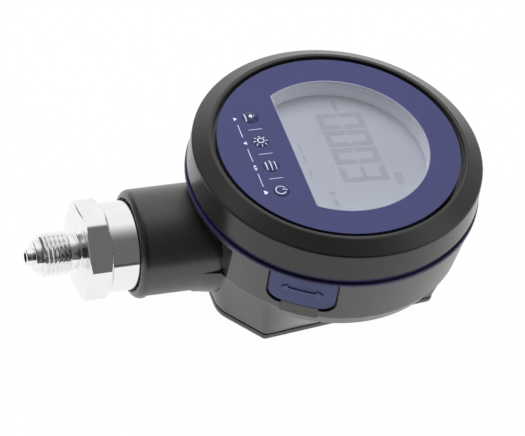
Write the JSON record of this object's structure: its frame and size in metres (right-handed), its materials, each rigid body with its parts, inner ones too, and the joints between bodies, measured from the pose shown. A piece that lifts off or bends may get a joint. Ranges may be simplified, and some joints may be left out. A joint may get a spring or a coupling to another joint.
{
  "type": "digital pressure gauge",
  "caption": "Round battery-powered digital pressure gauge with a tilted-view display, front keys, a rubber port flap and a steel threaded stem that swivels in the case.",
  "frame": {"origin": "dial axis on the flat rear face of the battery cover", "axes": "+Z out of the dial, -Y along the process connection, +Y to the dial's twelve o'clock, +X to the dial's right"},
  "size_m": [0.0892, 0.1384, 0.0536],
  "materials": {
    "case_plastic": "fine moulded texture",
    "bezel_plastic": "fine moulded texture",
    "seal_rubber": "smooth",
    "flap_rubber": "smooth",
    "soft_rubber": "smooth",
    "panel_foil": "satin, printed",
    "key_foil": "satin",
    "window_clear": "clear",
    "surround_plastic": "smooth",
    "display": "satin",
    "light_plate": "smooth",
    "circuit_board": "solder mask",
    "switch_plastic": "smooth",
    "plunger_plastic": "smooth",
    "small_steel": "plated",
    "cell_jacket": "plain wrap",
    "turned_steel": "turned and polished",
    "ceramic": "ground",
    "clamp_brass": "turned",
    "cap_plastic": "smooth",
    "lead_jacket": "smooth"
  },
  "bodies": {
    "case": {"rear_case": "case_plastic", "battery_cover": "case_plastic", "front_bezel": "bezel_plastic", "seal_ring": "seal_rubber", "cover_gasket": "soft_rubber", "front_foil": "panel_foil", "display_window": "window_clear", "display_surround": "surround_plastic", "lcd_glass": "display", "backlight": "light_plate", "display_board": "circuit_board", "main_board": "circuit_board", "switch_zero": "switch_plastic", "switch_light": "switch_plastic", "switch_menu": "switch_plastic", "switch_power": "switch_plastic", "board_connector": "switch_plastic", "board_screws": "small_steel", "cover_screws": "small_steel", "spacers": "small_steel", "usb_socket": "small_steel", "leaf_contact_left": "small_steel", "leaf_contact_right": "small_steel", "plate_contact_left": "small_steel", "plate_contact_right": "small_steel", "cell_left": "cell_jacket", "cell_right": "cell_jacket", "sensor_lead": "lead_jacket"},
    "stem": {"process_connection": "turned_steel", "retaining_ring": "small_steel", "swivel_seal": "soft_rubber", "cell_seal": "soft_rubber", "pressure_cell": "ceramic", "cell_clamp": "clamp_brass", "sensor_board": "circuit_board", "stem_cap": "cap_plastic"},
    "flap": {"usb_flap": "flap_rubber"},
    "key_zero": {"key_zero": "key_foil", "plunger_zero": "plunger_plastic"},
    "key_light": {"key_light": "key_foil", "plunger_light": "plunger_plastic"},
    "key_menu": {"key_menu": "key_foil", "plunger_menu": "plunger_plastic"},
    "key_power": {"key_power": "key_foil", "plunger_power": "plunger_plastic"}
  },
  "joints": [
    {"name": "stem_swivel", "type": "hinge", "parent": "case", "child": "stem", "pos_m": [0, 0, 0.021], "axis": [0, -1, 0], "range_deg": [-165, 165]},
    {"name": "press_zero", "type": "slide", "parent": "case", "child": "key_zero", "axis": [0, 0, -1], "range_m": [0, 0.0005], "stiffness_N_per_m": 3000},
    {"name": "press_light", "type": "slide", "parent": "case", "child": "key_light", "axis": [0, 0, -1], "range_m": [0, 0.0005], "stiffness_N_per_m": 3000},
    {"name": "press_menu", "type": "slide", "parent": "case", "child": "key_menu", "axis": [0, 0, -1], "range_m": [0, 0.0005], "stiffness_N_per_m": 3000},
    {"name": "press_power", "type": "slide", "parent": "case", "child": "key_power", "axis": [0, 0, -1], "range_m": [0, 0.0005], "stiffness_N_per_m": 3000},
    {"name": "flap_swing", "type": "hinge", "parent": "case", "child": "flap", "pos_m": [0.03889, -0.02121, 0.03805], "axis": [-0.4787, -0.878, 0], "range_deg": [0, 100], "stiffness_Nm_per_rad": 0.01}
  ]
}
